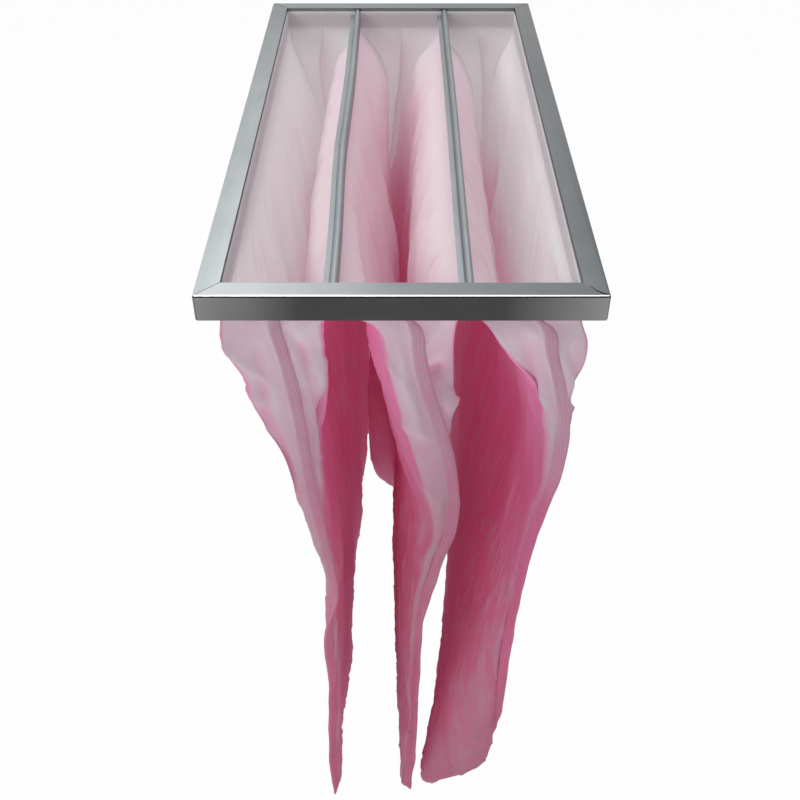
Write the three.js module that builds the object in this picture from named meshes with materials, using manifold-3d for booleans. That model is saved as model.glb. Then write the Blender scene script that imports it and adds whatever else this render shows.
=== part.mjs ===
// Bag air filter for a ventilation unit: a folded steel header that holds three limp pockets
// of pink synthetic media. Air goes in at the open mouths on top and leaves through the walls.
// Millimetres. The origin is the centre of the header's lower face, the face that seats in the
// duct. +Z points up out of the mouths, Y runs along the header, and the pockets hang to -Z.
import * as THREE from 'three';
import { mergeVertices } from 'three/addons/utils/BufferGeometryUtils.js';
import Module from 'manifold-3d';

const wasm = await Module();
wasm.setup();

// Header: one strip of roll-formed channel, folded round four corners
const headerWidth = 287;
const headerLength = 592;
const headerThickness = 21;
const flangeWidth = 17;
const headerSheet = 0.8;
const bendRadius = 1.4;
const cornerRadius = 2;
const bendSegments = 2;
const cornerSegments = 3;

// The cuts where the flanges of the strip meet at each corner
const mitreGap = 0.5;
// Cutting bodies run this far past what they cut
const cutOverrun = 1;
const curvedMitreGap = 1.6;
const curvedMitreShare = 0.7;
const curvedMitreSteps = 5;
const closingNotchAcross = 1.3;
const closingNotchAlong = 1.6;
const closingTabLength = 24;
const closingTabHeight = 15;

// Blind rivet that closes the strip at its near left corner
const rivetInset = 15;
const rivetShankRadius = 1.6;
const rivetHeadRadius = 3.2;
const rivetHeadHeight = 1.1;
const rivetTailRadius = 2.4;
const rivetTailHeight = 1.5;
const rivetTailFlatRadius = 1.9;
const rivetHeadSteps = 3;
const rivetFacets = 14;

// Points closer together than this are one point
const mergeDistance = 1e-5;

// Running and seating clearance between pieces that touch
const fitGap = 0.3;

// Filter media
const wallThickness = 2;
const rimThickness = 1.7;
const rimTopBelowHeader = 3.4;
const rimHeight = 8;
const rimOutboardOfFlange = 3;
const pocketDrop = 619;
// Even where the bag hangs shut its inside is this wide from the middle to each wall
const leastHalfOpening = 0.7;
const hemHeight = 9;
const hemThickness = 2.6;
const flapLength = 10;
const flapThickness = 2.4;
const flapTaperDrop = 14;
const seamPuff = 3;
// The rounded shoulder between a seam and its wall has one point, at this share of the opening
const seamShoulder = 0.55;
// The rim's straight walls turn into the hanging bag at this drop
const rimBlendDrop = 3;
const lineDivisions = 400;
// The hanging sheet's ends stay this far inside the header's ends
const sheetEndInset = 8;

// Clips inside the header channel that grip the pocket rims
const clipSheet = 0.8;
const clipInnerLeg = 9;
const clipEndGap = 0.5;

// Dividers: channels with a round nose and one side lip, between neighbouring pockets
const dividerSpacing = 96;
const noseWidth = 6;
const dividerSheet = 0.8;
const dividerLeg = 15;
const lipDrop = 6;
const lipWidth = 4.5;
const rimsApart = 0.4;
const tongueReach = 8;
const noseSegments = 6;
// How far each divider is bent out of line, and where along its length
const dividerBows = [
  { offset: -2.6, at: -60, spread: 95 },
  { offset: 0.9, at: 40, spread: 160 },
];

const media = new THREE.MeshStandardMaterial({ color: 0xd9a3b8, roughness: 0.9, metalness: 0 });
const galvanised = new THREE.MeshStandardMaterial({ color: 0xa9adae, roughness: 0.4, metalness: 0.9 });
const clipSteel = new THREE.MeshStandardMaterial({ color: 0x9a9e9f, roughness: 0.5, metalness: 0.9 });
const rivetAlloy = new THREE.MeshStandardMaterial({ color: 0xc4c6c8, roughness: 0.35, metalness: 0.9 });

// Places that the sizes above settle
const halfWidth = headerWidth / 2;
const halfLength = headerLength / 2;
const sheetHalfRun = halfLength - sheetEndInset;
const flangeEdgeX = halfWidth - flangeWidth;
const flangeEdgeY = halfLength - flangeWidth;
const flangeUnderside = headerThickness - headerSheet;
const seatTop = flangeUnderside - fitGap;
const rimTop = headerThickness - rimTopBelowHeader;
const rimBottom = rimTop - rimHeight;
const rimEndFace = flangeEdgeY + rimOutboardOfFlange + rimThickness / 2;
// The rim steps in this far to come down inside the lower flange's edge
const rimClearance = rimOutboardOfFlange + rimThickness / 2 + fitGap;
// Stations along each wall, closer together where the sheet turns at its ends
const wallStations = [0, 0.035, 0.07, 0.105, 0.15, 0.22, 0.31, 0.41, 0.52, 0.64, 0.74, 0.81, 0.88, 1];
const dividerPlaces = [-dividerSpacing / 2, dividerSpacing / 2];

// Closed meshes become solids for cutting and joining, and come back as geometry
function toSolid(geometry) {
  const bare = new THREE.BufferGeometry();
  bare.setAttribute('position', geometry.getAttribute('position').clone());
  if (geometry.index) bare.setIndex(geometry.index.clone());
  const merged = mergeVertices(bare, mergeDistance);
  return new wasm.Manifold(new wasm.Mesh({
    numProp: 3,
    vertProperties: new Float32Array(merged.getAttribute('position').array),
    triVerts: new Uint32Array(merged.index.array),
  }));
}

function toGeometry(solid) {
  const mesh = solid.getMesh();
  const geometry = new THREE.BufferGeometry();
  geometry.setAttribute('position', new THREE.BufferAttribute(new Float32Array(mesh.vertProperties), 3));
  geometry.setIndex(new THREE.BufferAttribute(new Uint32Array(mesh.triVerts), 1));
  return geometry;
}

function box(low, high) {
  const size = high.map((value, axis) => value - low[axis]);
  const geometry = new THREE.BoxGeometry(...size);
  return geometry.translate(...high.map((value, axis) => (value + low[axis]) / 2));
}

// A flat outline drawn in X and Y, raised from one height to another
function prism(outline, bottom, top) {
  const shape = new THREE.Shape(outline.map(([x, y]) => new THREE.Vector2(x, y)));
  const geometry = new THREE.ExtrudeGeometry(shape, { depth: top - bottom, bevelEnabled: false });
  return geometry.translate(0, 0, bottom);
}

// A rectangle with round corners, raised with rounded top and bottom edges
function roundedBlock(halfX, halfY, corner, bottom, top, edge) {
  const x = halfX - edge;
  const y = halfY - edge;
  const radius = Math.max(corner - edge, edge / 2);
  const shape = new THREE.Shape();
  shape.absarc(x - radius, y - radius, radius, 0, Math.PI / 2);
  shape.absarc(radius - x, y - radius, radius, Math.PI / 2, Math.PI);
  shape.absarc(radius - x, radius - y, radius, Math.PI, 1.5 * Math.PI);
  shape.absarc(x - radius, radius - y, radius, 1.5 * Math.PI, 2 * Math.PI);
  const geometry = new THREE.ExtrudeGeometry(shape, {
    depth: top - bottom - 2 * edge,
    bevelEnabled: true,
    bevelThickness: edge,
    bevelSize: edge,
    bevelSegments: bendSegments,
    curveSegments: cornerSegments,
  });
  return geometry.translate(0, 0, bottom + edge);
}

// The header channel: an outer block less the channel's inside and the open middle
function headerSolid() {
  const outer = toSolid(roundedBlock(halfWidth, halfLength, cornerRadius, 0, headerThickness, bendRadius));
  const inside = toSolid(roundedBlock(
    halfWidth - headerSheet,
    halfLength - headerSheet,
    cornerRadius - headerSheet,
    headerSheet,
    flangeUnderside,
    bendRadius - headerSheet,
  ));
  const middle = toSolid(box(
    [-flangeEdgeX, -flangeEdgeY, -cutOverrun],
    [flangeEdgeX, flangeEdgeY, headerThickness + cutOverrun],
  ));
  return outer.subtract(inside).subtract(middle);
}

// A straight mitre cut through both flanges, from the inner corner to just inside the bend
function straightMitre(signX, signY) {
  const inset = bendRadius + headerSheet;
  const inner = new THREE.Vector2(flangeEdgeX - cutOverrun, flangeEdgeY - cutOverrun);
  const outer = new THREE.Vector2(halfWidth - inset, halfLength - inset);
  const corner = new THREE.Vector2(signX, signY);
  inner.multiply(corner);
  outer.multiply(corner);
  const side = outer.clone().sub(inner).normalize().rotateAround(new THREE.Vector2(), Math.PI / 2);
  side.multiplyScalar(mitreGap / 2);
  const outline = [
    [inner.x - side.x, inner.y - side.y],
    [outer.x - side.x, outer.y - side.y],
    [outer.x + side.x, outer.y + side.y],
    [inner.x + side.x, inner.y + side.y],
  ];
  return toSolid(prism(outline, -cutOverrun, headerThickness + cutOverrun));
}

// The near right corner: one flange laps the other, and a curved slit opens towards the point
function curvedMitre() {
  const inset = bendRadius + headerSheet;
  const point = new THREE.Vector2(halfWidth - inset, inset - halfLength);
  const innerCorner = new THREE.Vector2(flangeEdgeX, -flangeEdgeY);
  const run = innerCorner.clone().sub(point).multiplyScalar(curvedMitreShare);
  const side = run.clone().normalize().rotateAround(new THREE.Vector2(), Math.PI / 2);
  const upper = [];
  const lower = [];
  for (let step = 0; step <= curvedMitreSteps; step += 1) {
    const share = step / curvedMitreSteps;
    const sag = Math.sin(share * Math.PI) * curvedMitreGap;
    const open = curvedMitreGap * (1 - share) + mitreGap * share;
    const centre = point.clone().addScaledVector(run, share).addScaledVector(side, sag);
    upper.push(centre.clone().addScaledVector(side, open / 2).toArray());
    lower.push(centre.clone().addScaledVector(side, -open / 2).toArray());
  }
  const outline = [...lower, ...upper.reverse()];
  return toSolid(prism(outline, flangeUnderside - cutOverrun, headerThickness + cutOverrun));
}

// The strip is closed at the near left corner: the near web's end is folded in behind the left web
function closingNotch() {
  return toSolid(box(
    [-halfWidth - cutOverrun, -halfLength - cutOverrun, bendRadius],
    [closingNotchAcross - halfWidth, closingNotchAlong - halfLength, headerThickness - bendRadius],
  ));
}

function closingTab() {
  const middle = headerThickness / 2;
  const outerFace = -halfWidth + headerSheet + fitGap;
  return toSolid(box(
    [outerFace, -halfLength + headerSheet / 2, middle - closingTabHeight / 2],
    [outerFace + headerSheet, -halfLength + closingTabLength, middle + closingTabHeight / 2],
  ));
}

function rivetHole() {
  const radius = rivetShankRadius + fitGap;
  const depth = 2 * (headerSheet + 2 * fitGap + cutOverrun);
  const hole = new THREE.CylinderGeometry(radius, radius, depth, rivetFacets);
  hole.rotateZ(Math.PI / 2);
  const across = -halfWidth + headerSheet + fitGap;
  return toSolid(hole.translate(across, rivetInset - halfLength, headerThickness / 2));
}

function headerGeometry() {
  let header = headerSolid();
  header = header.subtract(straightMitre(-1, -1));
  header = header.subtract(straightMitre(-1, 1));
  header = header.subtract(straightMitre(1, 1));
  header = header.subtract(curvedMitre());
  header = header.subtract(closingNotch());
  header = header.add(closingTab());
  return toGeometry(header.subtract(rivetHole()));
}

// A blind rivet: a domed head outside the web, a shank, and a swelled tail behind the tab
function rivetGeometry() {
  const stack = 2 * headerSheet + 3 * fitGap;
  const profile = [new THREE.Vector2(0, -rivetTailHeight)];
  profile.push(new THREE.Vector2(rivetTailFlatRadius, -rivetTailHeight));
  profile.push(new THREE.Vector2(rivetTailRadius, -rivetTailHeight / 2));
  profile.push(new THREE.Vector2(rivetTailFlatRadius, 0));
  profile.push(new THREE.Vector2(rivetShankRadius, 0));
  profile.push(new THREE.Vector2(rivetShankRadius, stack));
  for (let step = 0; step <= rivetHeadSteps; step += 1) {
    const turn = (step / rivetHeadSteps) * (Math.PI / 2);
    const radius = step === rivetHeadSteps ? 0 : rivetHeadRadius * Math.cos(turn);
    profile.push(new THREE.Vector2(radius, stack + rivetHeadHeight * Math.sin(turn)));
  }
  const rivet = new THREE.LatheGeometry(profile, rivetFacets);
  rivet.rotateZ(Math.PI / 2);
  const tailFace = -halfWidth + 2 * headerSheet + 2 * fitGap;
  return rivet.translate(tailFace, rivetInset - halfLength, headerThickness / 2);
}

// A clip's section: across runs outwards from the flange edge, and up is the height
function clipSection() {
  const rimInner = rimOutboardOfFlange - rimThickness / 2 - fitGap;
  const rimOuter = rimOutboardOfFlange + rimThickness / 2 + fitGap;
  const foot = headerSheet + fitGap;
  return [
    [rimInner - clipSheet, seatTop],
    [rimInner - clipSheet, seatTop - clipInnerLeg],
    [rimInner, seatTop - clipInnerLeg],
    [rimInner, seatTop - clipSheet],
    [rimOuter, seatTop - clipSheet],
    [rimOuter, foot],
    [rimOuter + clipSheet, foot],
    [rimOuter + clipSheet, seatTop],
  ];
}

// A clip drawn with its length along X and its outside towards -Y, centred on the flange edge
function clipGeometry(length) {
  const shape = new THREE.Shape(clipSection().map(([across, up]) => new THREE.Vector2(across, up)));
  const clip = new THREE.ExtrudeGeometry(shape, { depth: length, bevelEnabled: false });
  clip.rotateX(Math.PI / 2);
  clip.translate(0, length / 2, 0);
  return clip.rotateZ(-Math.PI / 2);
}

// Bow of a divider out of its straight line at a place along the header
function dividerBow(index, y) {
  const bow = dividerBows[index];
  const away = (y - bow.at) / bow.spread;
  return bow.offset * Math.exp(-away * away);
}

// A divider's folded sheet in section, seen along the header, about its own centre
function dividerSection() {
  const outer = noseWidth / 2;
  const inner = outer - dividerSheet;
  const noseCentre = seatTop - outer;
  const lipTop = seatTop - lipDrop;
  const section = [[outer, seatTop - dividerLeg]];
  for (let step = 0; step <= noseSegments; step += 1) {
    const turn = (step / noseSegments) * Math.PI;
    section.push([outer * Math.cos(turn), noseCentre + outer * Math.sin(turn)]);
  }
  section.push([-outer, lipTop]);
  section.push([-outer - lipWidth, lipTop]);
  section.push([-outer - lipWidth, lipTop - dividerSheet]);
  section.push([-inner, lipTop - dividerSheet]);
  for (let step = noseSegments; step >= 0; step -= 1) {
    const turn = (step / noseSegments) * Math.PI;
    section.push([inner * Math.cos(turn), noseCentre + inner * Math.sin(turn)]);
  }
  section.push([inner, seatTop - dividerLeg]);
  return section;
}

// Joins rings of equal point counts into one closed body, with the end caps triangulated.
// leansBack says which way a facet's diagonal runs, so that facing walls are cut up alike.
function loft(rings, capTriangles, leansBack = () => false) {
  const count = rings[0].length;
  const positions = rings.flat(2);
  const indices = [];
  for (let ring = 0; ring + 1 < rings.length; ring += 1) {
    for (let point = 0; point < count; point += 1) {
      const next = (point + 1) % count;
      const here = ring * count;
      const there = here + count;
      if (leansBack(ring, point)) {
        indices.push(here + point, here + next, there + point);
        indices.push(here + next, there + next, there + point);
      } else {
        indices.push(here + point, here + next, there + next);
        indices.push(here + point, there + next, there + point);
      }
    }
  }
  const last = (rings.length - 1) * count;
  for (const [a, b, c] of capTriangles) {
    indices.push(a, c, b);
    indices.push(last + a, last + b, last + c);
  }
  const geometry = new THREE.BufferGeometry();
  geometry.setAttribute('position', new THREE.Float32BufferAttribute(positions, 3));
  geometry.setIndex(indices);
  return geometry;
}

function dividerGeometry(index) {
  const section = dividerSection();
  const reach = flangeEdgeY + tongueReach;
  const places = [-reach, ...wallStations.map((share) => (2 * share - 1) * rimEndFace), reach];
  const rings = places.reverse().map((y) => {
    const x = dividerPlaces[index] + dividerBow(index, y);
    return section.map(([across, up]) => [x + across, y, up]);
  });
  const flat = section.map(([across, up]) => new THREE.Vector2(across, up));
  const caps = THREE.ShapeUtils.triangulateShape(flat, []);
  let divider = toSolid(loft(rings, caps));
  // Under the flanges only the nose goes on, as a tongue over the pocket rims
  const legEnd = rimEndFace - rimClearance - wallThickness - fitGap;
  const low = seatTop - dividerLeg - cutOverrun;
  for (const end of [-1, 1]) {
    const past = reach + cutOverrun;
    const from = Math.min(end * legEnd, end * past);
    const to = Math.max(end * legEnd, end * past);
    divider = divider.subtract(toSolid(box(
      [dividerPlaces[index] - headerThickness, from, low],
      [dividerPlaces[index] + headerThickness, to, rimTop + fitGap],
    )));
  }
  return toGeometry(divider);
}

// Each pocket hangs through sections at chosen depths. In a section, line is the fold of the
// sheet seen from above: across from the middle of the mouth in millimetres, and along the header
// as a share of the sheet's half run. left and right are the half openings at the near end, the
// middle and the far end, measured from that line. flap turns the near seam's flap sideways.
const pockets = [
  {
    name: 'pocket_left',
    leftSide: 'header',
    rightSide: 0,
    sections: [
      {
        drop: 14,
        line: [[-8, -0.965], [-4, -0.3], [-4, 0.4], [-2, 0.96]],
        left: [35, 34, 35],
        right: [38, 31, 34],
        flap: 75,
      },
      {
        drop: 35,
        line: [[-4.5, -0.97], [-8, -0.5], [-8, 0.4], [-4, 0.965]],
        left: [37, 27, 31],
        right: [35, 24, 28],
        flap: 75,
      },
      {
        drop: 60,
        line: [[0, -0.973], [-6, -0.5], [-6, 0.4], [-2, 0.965]],
        left: [28, 22, 25],
        right: [30, 21, 23],
        flap: 75,
      },
      {
        drop: 92,
        line: [[3.5, -0.973], [0, -0.5], [0, 0.4], [4, 0.965]],
        left: [26, 18, 18],
        right: [24, 16, 17],
        flap: 72,
      },
      {
        drop: 150,
        line: [[8, -0.975], [10, -0.4], [10, 0.4], [14, 0.965]],
        left: [14.5, 10, 11],
        right: [14, 9, 10],
        flap: 66,
      },
      {
        drop: 215,
        line: [[15.5, -0.978], [20, -0.4], [21, 0.4], [25, 0.965]],
        left: [7.5, 5, 6],
        right: [7, 5, 6],
        flap: 60,
      },
      {
        drop: 290,
        line: [[26, -0.985], [25, -0.5], [27, 0.3], [32, 0.965]],
        left: [4.5, 4, 4],
        right: [5, 4, 4],
        flap: 35,
      },
      {
        drop: 345,
        line: [[23, -0.988], [24, -0.6], [28, 0.2], [34, 0.965]],
        left: [4.5, 4, 4],
        right: [4.5, 4, 4],
        flap: -30,
      },
      {
        drop: 430,
        line: [[24, -0.99], [22, -0.7], [25, 0], [32, 0.965]],
        left: [4, 3.6, 3.6],
        right: [4, 3.6, 3.6],
        flap: -38,
      },
      {
        drop: 530,
        line: [[20, -0.992], [19, -0.75], [23, -0.1], [32, 0.97]],
        left: [3.6, 3.4, 3.4],
        right: [3.6, 3.4, 3.4],
        flap: -35,
      },
      {
        drop: 619,
        line: [[18, -0.985], [19, -0.78], [23, -0.35], [25, 0.1], [31, 0.55], [34, 0.98]],
        left: [3.4, 3.2, 3.2],
        right: [3.4, 3.2, 3.2],
        flap: -12,
      },
    ],
  },
  {
    name: 'pocket_middle',
    leftSide: 0,
    rightSide: 1,
    sections: [
      {
        drop: 14,
        line: [[5, -0.965], [-3, -0.7], [-3, 0.5], [0, 0.96]],
        left: [25, 35, 38],
        right: [36, 33, 38],
        flap: 60,
      },
      {
        drop: 35,
        line: [[7, -0.97], [-11, -0.78], [-10, 0.4], [-6, 0.965]],
        left: [19, 25, 30],
        right: [33, 25, 28],
        flap: 60,
      },
      {
        drop: 60,
        line: [[11, -0.973], [-13, -0.78], [-12, 0.4], [-10, 0.965]],
        left: [18, 19, 22],
        right: [31, 19, 22],
        flap: 60,
      },
      {
        drop: 92,
        line: [[20, -0.975], [-9, -0.75], [-12, 0.4], [-16, 0.965]],
        left: [19, 15, 15],
        right: [24, 15, 15],
        flap: 60,
      },
      {
        drop: 150,
        line: [[33, -0.975], [7, -0.8], [-5, 0.1], [-21, 0.965]],
        left: [20, 9, 9],
        right: [5, 9, 9],
        flap: 55,
      },
      {
        drop: 215,
        line: [[36, -0.975], [15, -0.84], [2, -0.3], [-7, 0.4], [-27, 0.965]],
        left: [8, 5, 5],
        right: [4, 5, 5],
        flap: 35,
      },
      {
        drop: 262,
        line: [[26, -0.978], [13, -0.86], [1, -0.3], [-8, 0.4], [-31, 0.965]],
        left: [5, 4.2, 4.2],
        right: [4.2, 4.2, 4.2],
        flap: 20,
      },
      {
        drop: 335,
        line: [[13.5, -0.982], [7, -0.88], [0, -0.3], [-7, 0.4], [-34, 0.965]],
        left: [4.2, 3.8, 3.8],
        right: [4, 3.8, 3.8],
        flap: 20,
      },
      {
        drop: 450,
        line: [[11, -0.985], [6, -0.9], [-1, -0.3], [-5, 0.35], [-35, 0.8], [-39, 0.97]],
        left: [3.8, 3.5, 3.5],
        right: [3.8, 3.5, 3.5],
        flap: 20,
      },
      {
        drop: 545,
        line: [[8, -0.985], [5, -0.9], [-1, -0.4], [-4, 0.3], [-8, 0.6], [-35, 0.72], [-41, 0.975]],
        left: [3.6, 3.4, 3.4],
        right: [3.6, 3.4, 3.4],
        flap: 30,
      },
      {
        drop: 619,
        line: [
          [3, -0.975], [3, -0.84], [4, -0.72], [-3, -0.3],
          [-4, 0.35], [-7, 0.6], [-35, 0.7], [-41, 0.98],
        ],
        left: [3.4, 3.2, 3.2],
        right: [3.4, 3.2, 3.2],
        flap: 50,
      },
    ],
  },
  {
    name: 'pocket_right',
    leftSide: 1,
    rightSide: 'header',
    sections: [
      {
        drop: 14,
        line: [[12, -0.965], [2, -0.75], [1, 0.5], [0, 0.96]],
        left: [36, 35, 36],
        right: [30, 34, 36],
        flap: 55,
      },
      {
        drop: 35,
        line: [[17, -0.97], [3, -0.75], [2, 0.4], [2, 0.965]],
        left: [27, 29, 31],
        right: [33, 29, 30],
        flap: 55,
      },
      {
        drop: 60,
        line: [[24, -0.973], [4, -0.72], [3, 0.4], [4, 0.965]],
        left: [17, 25, 26],
        right: [24, 24, 25],
        flap: 55,
      },
      {
        drop: 78,
        line: [[28, -0.974], [4, -0.7], [3, 0.4], [5, 0.965]],
        left: [11, 20, 22],
        right: [14, 20, 22],
        flap: 52,
      },
      {
        drop: 103,
        line: [[33, -0.975], [6, -0.68], [2, 0.4], [5, 0.965]],
        left: [9, 15, 17],
        right: [13, 15, 17],
        flap: 48,
      },
      {
        drop: 150,
        line: [[32, -0.978], [10, -0.62], [1, 0.2], [4, 0.965]],
        left: [5, 9, 10],
        right: [4.5, 9, 10],
        flap: 40,
      },
      {
        drop: 210,
        line: [[22, -0.982], [11, -0.62], [0, 0.1], [1, 0.965]],
        left: [4, 5, 6],
        right: [4, 5, 6],
        flap: 25,
      },
      {
        drop: 285,
        line: [[13, -0.985], [5, -0.85], [-3, -0.3], [-6, 0.3], [-7, 0.965]],
        left: [4, 4, 4.5],
        right: [4, 4, 4.5],
        flap: 15,
      },
      {
        drop: 395,
        line: [[4, -0.975], [-7, -0.94], [-14, -0.85], [-16, -0.5], [-12, 0.1], [-11, 0.965]],
        left: [4.6, 3.8, 4],
        right: [4.6, 3.8, 4],
        flap: 8,
      },
      {
        drop: 510,
        line: [
          [4, -0.94], [-13, -0.955], [-31, -0.93], [-37, -0.83],
          [-33, -0.55], [-18, 0], [-14, 0.97],
        ],
        left: [5.4, 3.7, 3.4],
        right: [5.4, 3.7, 3.4],
        flap: 5,
      },
      {
        drop: 619,
        line: [
          [4, -0.871], [-10, -0.925], [-34, -0.955], [-52, -0.935], [-57, -0.87],
          [-52, -0.76], [-41, -0.52], [-28, -0.12], [-16, 0.25], [-13, 0.98],
        ],
        left: [4.6, 3.3, 3.2],
        right: [4.6, 3.3, 3.2],
        flap: 0,
      },
    ],
  },
];

// Depths of the rings as shares of the drop, closer together under the header
const ringShares = [0.03, 0.065, 0.105, 0.15, 0.205, 0.275, 0.37, 0.48, 0.59, 0.68, 0.77, 0.85, 0.925];
const sectionScale = pocketDrop / pockets[0].sections.at(-1).drop;

// Long soft folds that run down and across both walls together
const folds = [
  { depth: 2.6, length: 190, slant: 0.25, phase: 0.4 },
  { depth: 1.7, length: 118, slant: -0.35, phase: 1.9 },
];
const foldStart = 40;
const foldFull = 170;
// Near the hem the folds flatten out to this share of their height
const foldAtHem = 0.5;
const foldEaseDrop = 526;

// Where a pocket's rim stands: the outer faces of its left and right walls at a place along Y
function rimFaces(pocket, y) {
  const headerFace = flangeEdgeX + rimOutboardOfFlange + rimThickness / 2;
  const left = pocket.leftSide === 'header'
    ? -headerFace
    : dividerPlaces[pocket.leftSide] + dividerBow(pocket.leftSide, y) + rimsApart / 2;
  const right = pocket.rightSide === 'header'
    ? headerFace
    : dividerPlaces[pocket.rightSide] + dividerBow(pocket.rightSide, y) - rimsApart / 2;
  return { left, right };
}

function mouthCentre(pocket) {
  const left = pocket.leftSide === 'header' ? -flangeEdgeX : dividerPlaces[pocket.leftSide];
  const right = pocket.rightSide === 'header' ? flangeEdgeX : dividerPlaces[pocket.rightSide];
  return (left + right) / 2;
}

// One ring at the rim: straight walls between the rim faces, with both seams at the mouth's middle
function rimRing(pocket, inset, shiftIn) {
  const endFace = rimEndFace - shiftIn - inset;
  const centre = mouthCentre(pocket);
  const seamHalf = flapThickness / 2;
  const sideAt = (side, y) => {
    const faces = rimFaces(pocket, y);
    const onHeader = pocket[`${side}Side`] === 'header';
    const towards = side === 'left' ? 1 : -1;
    return faces[side] + towards * (inset + (onHeader ? shiftIn : 0));
  };
  const wall = (side, towards) => {
    const points = [];
    const corner = sideAt(side, -endFace);
    points.push([centre + towards * seamHalf, -endFace]);
    points.push([(centre + corner) / 2, -endFace]);
    for (const share of wallStations) {
      const y = -endFace + 2 * endFace * share;
      points.push([sideAt(side, y), y]);
    }
    points.push([(centre + sideAt(side, endFace)) / 2, endFace]);
    points.push([centre + towards * seamHalf, endFace]);
    return points;
  };
  const tip = (end, sign) => [centre + (sign * seamHalf) / 2, end * endFace];
  return [
    tip(-1, -1),
    ...wall('left', -1),
    tip(1, -1),
    tip(1, 1),
    ...wall('right', 1).reverse(),
    tip(-1, 1),
  ];
}

// Blends three values given at the near end, the middle and the far end
function alongValue([near, middle, far], share) {
  const ease = (value) => value * value * (3 - 2 * value);
  if (share < 0.5) return near + (middle - near) * ease(Math.min(1, share * 3));
  return middle + (far - middle) * ease(Math.max(0, share * 3 - 2));
}

// Drape fold height at a place along the wall and a drop below the header
function foldHeight(runAlong, drop) {
  const ramp = THREE.MathUtils.smoothstep(drop, foldStart, foldFull);
  const fade = 1 - (1 - foldAtHem) * THREE.MathUtils.smoothstep(drop, foldEaseDrop, pocketDrop);
  let height = 0;
  for (const fold of folds) {
    const turns = (runAlong + fold.slant * drop) / fold.length;
    height += fold.depth * Math.sin(2 * Math.PI * turns + fold.phase);
  }
  return height * ramp * fade;
}

// One ring of a hanging section. inset is 0 on the outside and the wall's thickness on the inside.
function sectionRing(pocket, section, inset, drop) {
  const centre = mouthCentre(pocket);
  const line = new THREE.CatmullRomCurve3(
    section.line.map(([across, along]) => new THREE.Vector3(centre + across, along * sheetHalfRun, 0)),
    false,
    'centripetal',
  );
  line.arcLengthDivisions = lineDivisions;
  const length = line.getLength();
  const trim = inset / length;
  const place = (share) => {
    const along = trim + share * (1 - 2 * trim);
    const point = line.getPointAt(along);
    const tangent = line.getTangentAt(along);
    const normal = new THREE.Vector3(-tangent.y, tangent.x, 0);
    const ends = Math.sqrt(Math.max(0, Math.sin(Math.PI * share)));
    point.addScaledVector(normal, foldHeight(along * length, drop) * ends);
    return { point, tangent, normal };
  };
  const half = (side, share) => Math.max(alongValue(section[side], share) - inset, leastHalfOpening);
  const seamHalf = Math.min(flapThickness / 2, half('left', 0), half('right', 0));
  const endPoint = (share, sign, side, reach) => {
    const { point, tangent, normal } = place(share);
    const outward = share === 0 ? -1 : 1;
    const puff = seamPuff * (1 - reach * reach);
    const across = reach * half(side, share) + (1 - reach) * seamHalf;
    return point.addScaledVector(tangent, outward * puff).addScaledVector(normal, sign * across);
  };
  const wall = (side, sign) => {
    const points = [endPoint(0, sign, side, 0), endPoint(0, sign, side, seamShoulder)];
    for (const share of wallStations) {
      const { point, normal } = place(share);
      points.push(point.addScaledVector(normal, sign * half(side, share)));
    }
    points.push(endPoint(1, sign, side, seamShoulder), endPoint(1, sign, side, 0));
    return points;
  };
  const tips = (share) => {
    const { point, tangent, normal } = place(share);
    const outward = share === 0 ? -1 : 1;
    const turn = THREE.MathUtils.degToRad(section.flap);
    const grown = THREE.MathUtils.smoothstep(drop, 0, flapTaperDrop);
    const reach = inset > 0 ? 0 : flapThickness / 4 + flapLength * grown;
    const root = point.clone().addScaledVector(tangent, outward * seamPuff);
    const heading = tangent.clone().multiplyScalar(outward * Math.cos(turn));
    heading.addScaledVector(normal, -Math.sin(turn));
    const flank = new THREE.Vector3(heading.y, -heading.x, 0).multiplyScalar((outward * seamHalf) / 2);
    const tip = root.addScaledVector(heading, reach);
    return [tip.clone().sub(flank), tip.clone().add(flank)];
  };
  const nearTips = tips(0);
  const farTips = tips(1);
  const ring = [
    nearTips[0],
    ...wall('left', 1),
    farTips[0],
    farTips[1],
    ...wall('right', -1).reverse(),
    nearTips[1],
  ];
  return ring.map((point) => [point.x, point.y]);
}

// Reads a ring at any drop by passing a smooth curve through the same point of every section
function hangingRing(pocket, inset, drop) {
  const knots = [{ drop: rimBlendDrop, ring: rimRing(pocket, inset, rimClearance) }];
  for (const section of pocket.sections) {
    const at = section.drop * sectionScale;
    knots.push({ drop: at, ring: sectionRing(pocket, section, inset, at) });
  }
  const upper = Math.max(1, knots.findIndex((knot) => knot.drop >= drop - mergeDistance));
  const [a, b] = [knots[upper - 1], knots[upper]];
  const before = knots[Math.max(0, upper - 2)];
  const after = knots[Math.min(knots.length - 1, upper + 1)];
  const share = (drop - a.drop) / (b.drop - a.drop);
  const span = b.drop - a.drop;
  return a.ring.map((start, point) => start.map((value, axis) => {
    const end = b.ring[point][axis];
    const slopeIn = (end - before.ring[point][axis]) / (b.drop - before.drop);
    const slopeOut = (after.ring[point][axis] - value) / (after.drop - a.drop);
    const rest = 1 - share;
    const eased = share * share * (3 - 2 * share);
    return value + (end - value) * eased
      + span * share * rest * (rest * slopeIn - share * slopeOut);
  }));
}

// The hem: both walls pressed together along the bottom
function hemRing(ring) {
  return ring.map((point, index) => {
    const partner = ring[ring.length - 1 - index];
    const gap = Math.hypot(point[0] - partner[0], point[1] - partner[1]);
    const pressed = Math.min(1, hemThickness / gap);
    return point.map((value, axis) => {
      const middle = (value + partner[axis]) / 2;
      return middle + (value - middle) * pressed;
    });
  });
}

function atHeight(ring, height) {
  return ring.map(([x, y]) => [x, y, height]);
}

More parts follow.
